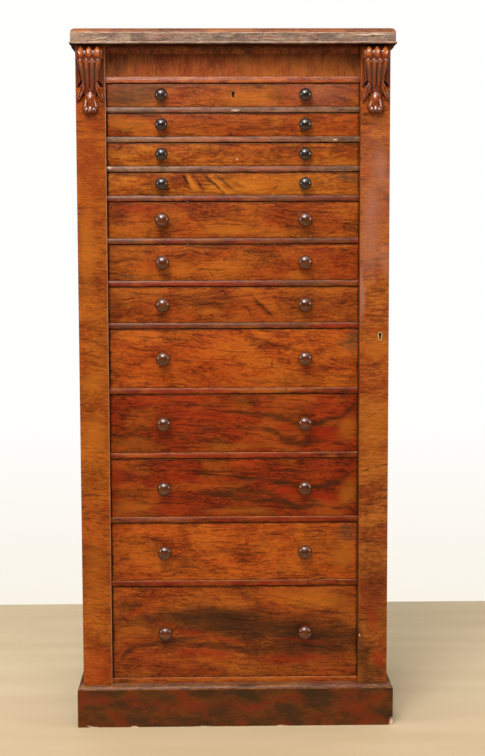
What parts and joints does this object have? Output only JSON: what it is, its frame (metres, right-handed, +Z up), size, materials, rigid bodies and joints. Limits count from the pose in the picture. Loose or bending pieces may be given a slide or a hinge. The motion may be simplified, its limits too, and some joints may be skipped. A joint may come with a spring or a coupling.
{
  "type": "wellington chest",
  "caption": "Tall narrow chest of graduated drawers between two stiles with carved corbels; the right stile turns on pivots and locks the drawers shut.",
  "frame": {"origin": "on the floor, under the centre of the chest's bounding box", "axes": "+X to the chest's right as seen from the front, -Y out of the drawer fronts, +Z up"},
  "size_m": [0.596, 0.43, 1.297],
  "materials": {
    "case_veneer": "french polished walnut veneer",
    "drawer_veneer": "french polished figured walnut veneer",
    "carved_walnut": "carved and polished walnut",
    "plinth_veneer": "dark polished walnut veneer",
    "rail_wood": "polished walnut facing",
    "drawer_lining": "plain planed mahogany",
    "back_pine": "aged planed pine",
    "dark_knob": "turned and polished, near black",
    "brown_knob": "turned and polished, dark brown",
    "brass": "aged brass",
    "steel": "old drawn steel"
  },
  "bodies": {
    "carcass": {"top_board": "case_veneer", "bed_moulding": "case_veneer", "frieze_panel": "case_veneer", "left_side_panel": "case_veneer", "right_side_panel": "case_veneer", "back_boards": "back_pine", "carcass_bottom": "rail_wood", "left_stile": "case_veneer", "left_corbel": "carved_walnut", "drawer_rails": "rail_wood", "front_posts": "back_pine", "drawer_runners": "back_pine", "plinth_front": "plinth_veneer", "plinth_frame": "plinth_veneer", "pivot_sockets": "brass", "stile_lock_keep": "brass"},
    "locking_stile": {"locking_stile": "case_veneer", "right_corbel": "carved_walnut", "pivot_pins": "steel", "stile_lock_case": "brass", "stile_escutcheon": "brass"},
    "stile_bolt": {"stile_lock_bolt": "brass"},
    "drawer_01": {"drawer_01_front": "drawer_veneer", "drawer_01_box": "drawer_lining", "drawer_01_knobs": "dark_knob", "drawer_lock_case": "brass"},
    "drawer_02": {"drawer_02_front": "drawer_veneer", "drawer_02_box": "drawer_lining", "drawer_02_knobs": "dark_knob"},
    "drawer_03": {"drawer_03_front": "drawer_veneer", "drawer_03_box": "drawer_lining", "drawer_03_knobs": "dark_knob"},
    "drawer_04": {"drawer_04_front": "drawer_veneer", "drawer_04_box": "drawer_lining", "drawer_04_knobs": "dark_knob"},
    "drawer_05": {"drawer_05_front": "drawer_veneer", "drawer_05_box": "drawer_lining", "drawer_05_knobs": "brown_knob"},
    "drawer_06": {"drawer_06_front": "drawer_veneer", "drawer_06_box": "drawer_lining", "drawer_06_knobs": "brown_knob"},
    "drawer_07": {"drawer_07_front": "drawer_veneer", "drawer_07_box": "drawer_lining", "drawer_07_knobs": "brown_knob"},
    "drawer_08": {"drawer_08_front": "drawer_veneer", "drawer_08_box": "drawer_lining", "drawer_08_knobs": "brown_knob"},
    "drawer_09": {"drawer_09_front": "drawer_veneer", "drawer_09_box": "drawer_lining", "drawer_09_knobs": "brown_knob"},
    "drawer_10": {"drawer_10_front": "drawer_veneer", "drawer_10_box": "drawer_lining", "drawer_10_knobs": "brown_knob"},
    "drawer_11": {"drawer_11_front": "drawer_veneer", "drawer_11_box": "drawer_lining", "drawer_11_knobs": "brown_knob"},
    "drawer_12": {"drawer_12_front": "drawer_veneer", "drawer_12_box": "drawer_lining", "drawer_12_knobs": "brown_knob"},
    "drawer_bolt": {"drawer_lock_bolt": "brass"}
  },
  "joints": [
    {"name": "locking_stile_turn", "type": "hinge", "parent": "carcass", "child": "locking_stile", "pos_m": [0.282, -0.171, 0.6736], "axis": [0, 0, 1], "range_deg": [0, 90]},
    {"name": "stile_bolt_slide", "type": "slide", "parent": "locking_stile", "child": "stile_bolt", "axis": [0, 0, -1], "range_m": [0, 0.009]},
    {"name": "drawer_01_slide", "type": "slide", "parent": "carcass", "child": "drawer_01", "axis": [0, -1, 0], "range_m": [0, 0.27]},
    {"name": "drawer_02_slide", "type": "slide", "parent": "carcass", "child": "drawer_02", "axis": [0, -1, 0], "range_m": [0, 0.27]},
    {"name": "drawer_03_slide", "type": "slide", "parent": "carcass", "child": "drawer_03", "axis": [0, -1, 0], "range_m": [0, 0.27]},
    {"name": "drawer_04_slide", "type": "slide", "parent": "carcass", "child": "drawer_04", "axis": [0, -1, 0], "range_m": [0, 0.27]},
    {"name": "drawer_05_slide", "type": "slide", "parent": "carcass", "child": "drawer_05", "axis": [0, -1, 0], "range_m": [0, 0.27]},
    {"name": "drawer_06_slide", "type": "slide", "parent": "carcass", "child": "drawer_06", "axis": [0, -1, 0], "range_m": [0, 0.27]},
    {"name": "drawer_07_slide", "type": "slide", "parent": "carcass", "child": "drawer_07", "axis": [0, -1, 0], "range_m": [0, 0.27]},
    {"name": "drawer_08_slide", "type": "slide", "parent": "carcass", "child": "drawer_08", "axis": [0, -1, 0], "range_m": [0, 0.27]},
    {"name": "drawer_09_slide", "type": "slide", "parent": "carcass", "child": "drawer_09", "axis": [0, -1, 0], "range_m": [0, 0.27]},
    {"name": "drawer_10_slide", "type": "slide", "parent": "carcass", "child": "drawer_10", "axis": [0, -1, 0], "range_m": [0, 0.27]},
    {"name": "drawer_11_slide", "type": "slide", "parent": "carcass", "child": "drawer_11", "axis": [0, -1, 0], "range_m": [0, 0.27]},
    {"name": "drawer_12_slide", "type": "slide", "parent": "carcass", "child": "drawer_12", "axis": [0, -1, 0], "range_m": [0, 0.27]},
    {"name": "drawer_bolt_slide", "type": "slide", "parent": "drawer_01", "child": "drawer_bolt", "axis": [0, 0, 1], "range_m": [0, 0.008]}
  ]
}
